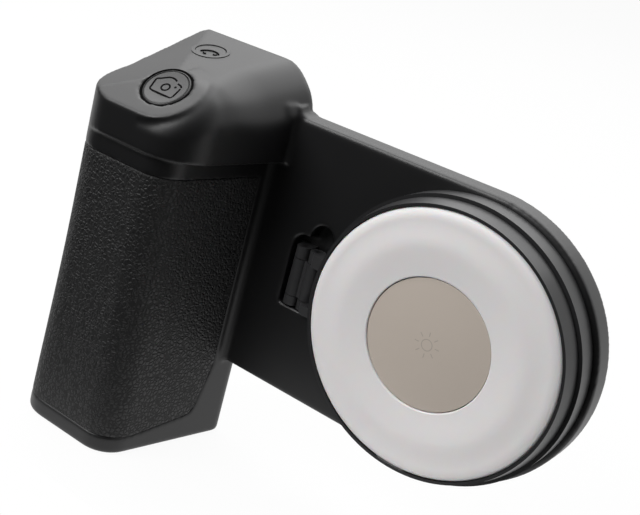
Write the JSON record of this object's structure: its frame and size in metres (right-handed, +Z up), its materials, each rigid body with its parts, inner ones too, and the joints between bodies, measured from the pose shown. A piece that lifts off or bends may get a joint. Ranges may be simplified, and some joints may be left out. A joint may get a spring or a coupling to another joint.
{
  "type": "selfie light",
  "caption": "Magnetic phone camera grip with a leather-wrapped handle, tilted shutter button, flat round-ended phone plate and a fold-out dock that holds a round fill light with a mirror key.",
  "frame": {"origin": "centre of the phone pad's outer face, on the axis of the round light", "axes": "+Y out of the pad towards the phone, -Y the way the light shines, +X from the handle to the round end, +Z up towards the shutter button"},
  "size_m": [0.1217, 0.0402, 0.0976],
  "materials": {
    "soft_black": "fine matte, soft to the touch",
    "cover_black": "matte",
    "leather": "black pebbled grain, semi-matte",
    "pad_rubber": "smooth silicone, matte",
    "magnet": "nickel plated",
    "spring_steel": "plain sheet",
    "cell_sleeve": "shrink sleeve",
    "cradle_plastic": "moulded",
    "circuit_board": "solder mask",
    "socket_steel": "stamped shell",
    "switch_plastic": "moulded",
    "thread_brass": "turned",
    "screw_steel": "dark plated",
    "hinge_metal": "satin black",
    "led_white": "phosphor",
    "opal": "opal diffuser, satin",
    "mirror_film": "half-silvered"
  },
  "bodies": {
    "grip": {"grip_shell": "soft_black", "back_cover": "cover_black", "foot_plate": "soft_black", "grip_wrap": "leather", "phone_pad": "pad_rubber", "phone_magnets": "magnet", "phone_yoke": "spring_steel", "battery_cell": "cell_sleeve", "battery_cradle": "cradle_plastic", "main_board": "circuit_board", "usb_socket": "socket_steel", "shutter_board": "circuit_board", "shutter_switch": "switch_plastic", "pairing_board": "circuit_board", "pairing_switch": "switch_plastic", "tripod_insert": "thread_brass", "cover_screws": "screw_steel", "foot_screws": "screw_steel", "hinge_bracket": "hinge_metal", "bracket_screws": "screw_steel", "hinge_pin_inner": "screw_steel"},
    "shutter": {"shutter_button": "soft_black"},
    "pair_key": {"pairing_key": "soft_black"},
    "link": {"hinge_link": "hinge_metal"},
    "dock": {"dock_plate": "soft_black", "dock_cover": "soft_black", "dock_leaf": "hinge_metal", "leaf_screws": "screw_steel", "dock_magnets": "magnet", "dock_yoke": "spring_steel", "hinge_pin_outer": "screw_steel"},
    "light": {"light_housing": "soft_black", "light_back_cover": "soft_black", "light_magnets": "magnet", "light_battery": "cell_sleeve", "light_board": "circuit_board", "light_leds": "led_white", "light_socket": "socket_steel", "diffuser": "opal", "key_dome": "spring_steel"},
    "light_key": {"mirror_key": "mirror_film"}
  },
  "joints": [
    {"name": "shutter_press", "type": "slide", "parent": "grip", "child": "shutter", "axis": [0, 0.5906, -0.807], "range_m": [0, 0.0006], "stiffness_N_per_m": 1500},
    {"name": "pairing_press", "type": "slide", "parent": "grip", "child": "pair_key", "axis": [0, 0.1994, -0.9799], "range_m": [0, 0.0003], "stiffness_N_per_m": 1500},
    {"name": "hinge_inner", "type": "hinge", "parent": "grip", "child": "link", "pos_m": [-0.0408, -0.0055, 0], "axis": [0, 0, -1], "range_deg": [0, 40]},
    {"name": "hinge_outer", "type": "hinge", "parent": "link", "child": "dock", "pos_m": [-0.037, -0.0055, 0], "axis": [0, 0, -1], "range_deg": [0, 40]},
    {"name": "light_pull_off", "type": "slide", "parent": "dock", "child": "light", "axis": [0, -1, 0], "range_m": [0, 0.005]},
    {"name": "light_key_press", "type": "slide", "parent": "light", "child": "light_key", "axis": [0, 1, 0], "range_m": [0, 0.0002], "stiffness_N_per_m": 2000}
  ]
}
